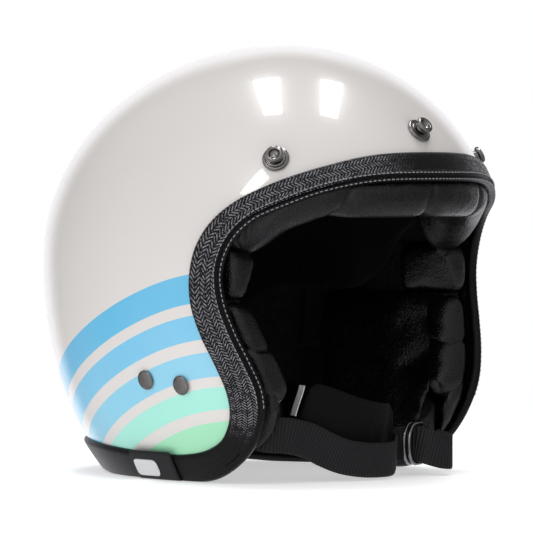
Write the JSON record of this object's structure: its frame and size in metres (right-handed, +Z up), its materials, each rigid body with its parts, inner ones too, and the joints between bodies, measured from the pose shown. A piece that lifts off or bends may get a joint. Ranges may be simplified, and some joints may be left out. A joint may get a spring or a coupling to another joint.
{
  "type": "open face motorcycle helmet",
  "caption": "Open face motorcycle helmet: painted shell, leather edge trim, padded liner and a buckled double-ring chin strap.",
  "frame": {"origin": "under the middle of the helmet, on the surface that its bottom trim stands on", "axes": "-Y is the way the wearer faces, +X is the wearer's left, +Z is up through the crown"},
  "size_m": [0.2306, 0.2758, 0.2481],
  "materials": {
    "shell_paint": "gloss cream paint with pale blue and green bands",
    "impact_foam": "matt black bead foam",
    "trim_leather": "black embossed leather",
    "pad_leather": "black grained leather over foam",
    "liner_cloth": "black knitted cloth",
    "mesh_cloth": "black ribbed stretch mesh",
    "webbing": "black ribbed webbing",
    "steel": "bright steel",
    "dark_nickel": "dark nickel plate",
    "label": "plain pale woven label"
  },
  "bodies": {
    "shell": {"outer_shell": "shell_paint", "face_trim": "trim_leather", "neck_trim": "trim_leather", "label_tag": "webbing", "eps_liner": "impact_foam", "cheek_core_right": "impact_foam", "cheek_core_left": "impact_foam", "crown_pad": "liner_cloth", "brow_pad": "pad_leather", "temple_patch_right": "mesh_cloth", "temple_patch_left": "mesh_cloth", "cheek_pad_right": "pad_leather", "cheek_pad_left": "pad_leather", "neck_roll": "pad_leather", "snap_base_centre": "dark_nickel", "snap_base_right": "dark_nickel", "snap_base_left": "dark_nickel", "snap_stud_centre": "dark_nickel", "snap_stud_right": "dark_nickel", "snap_stud_left": "dark_nickel", "snap_washer_centre": "steel", "snap_washer_right": "steel", "snap_washer_left": "steel", "rivet_right_rear": "dark_nickel", "rivet_right_front": "dark_nickel", "rivet_left_rear": "dark_nickel", "rivet_left_front": "dark_nickel", "rivet_washer_right_rear": "steel", "rivet_washer_right_front": "steel", "rivet_washer_left_rear": "steel", "rivet_washer_left_front": "steel", "anchor_plate_right": "steel", "anchor_plate_left": "steel"},
    "chin_strap": {"strap_right": "webbing", "strap_left": "webbing", "strap_sleeve": "liner_cloth", "strap_label": "label"},
    "ring_inner": {"d_ring_inner": "steel"},
    "ring_outer": {"d_ring_outer": "steel"}
  },
  "joints": [
    {"name": "strap_swing", "type": "hinge", "parent": "shell", "child": "chin_strap", "pos_m": [0, -0.02435, 0.052], "axis": [1, 0, 0], "range_deg": [-3, 75]},
    {"name": "ring_inner_rock", "type": "hinge", "parent": "chin_strap", "child": "ring_inner", "pos_m": [0.046, -0.07815, 0.0182], "axis": [0, 0, 1], "range_deg": [-8, 0]},
    {"name": "ring_outer_lift", "type": "hinge", "parent": "chin_strap", "child": "ring_outer", "pos_m": [0.047, -0.08115, 0.0182], "axis": [0, 0, 1], "range_deg": [0, 6]}
  ]
}
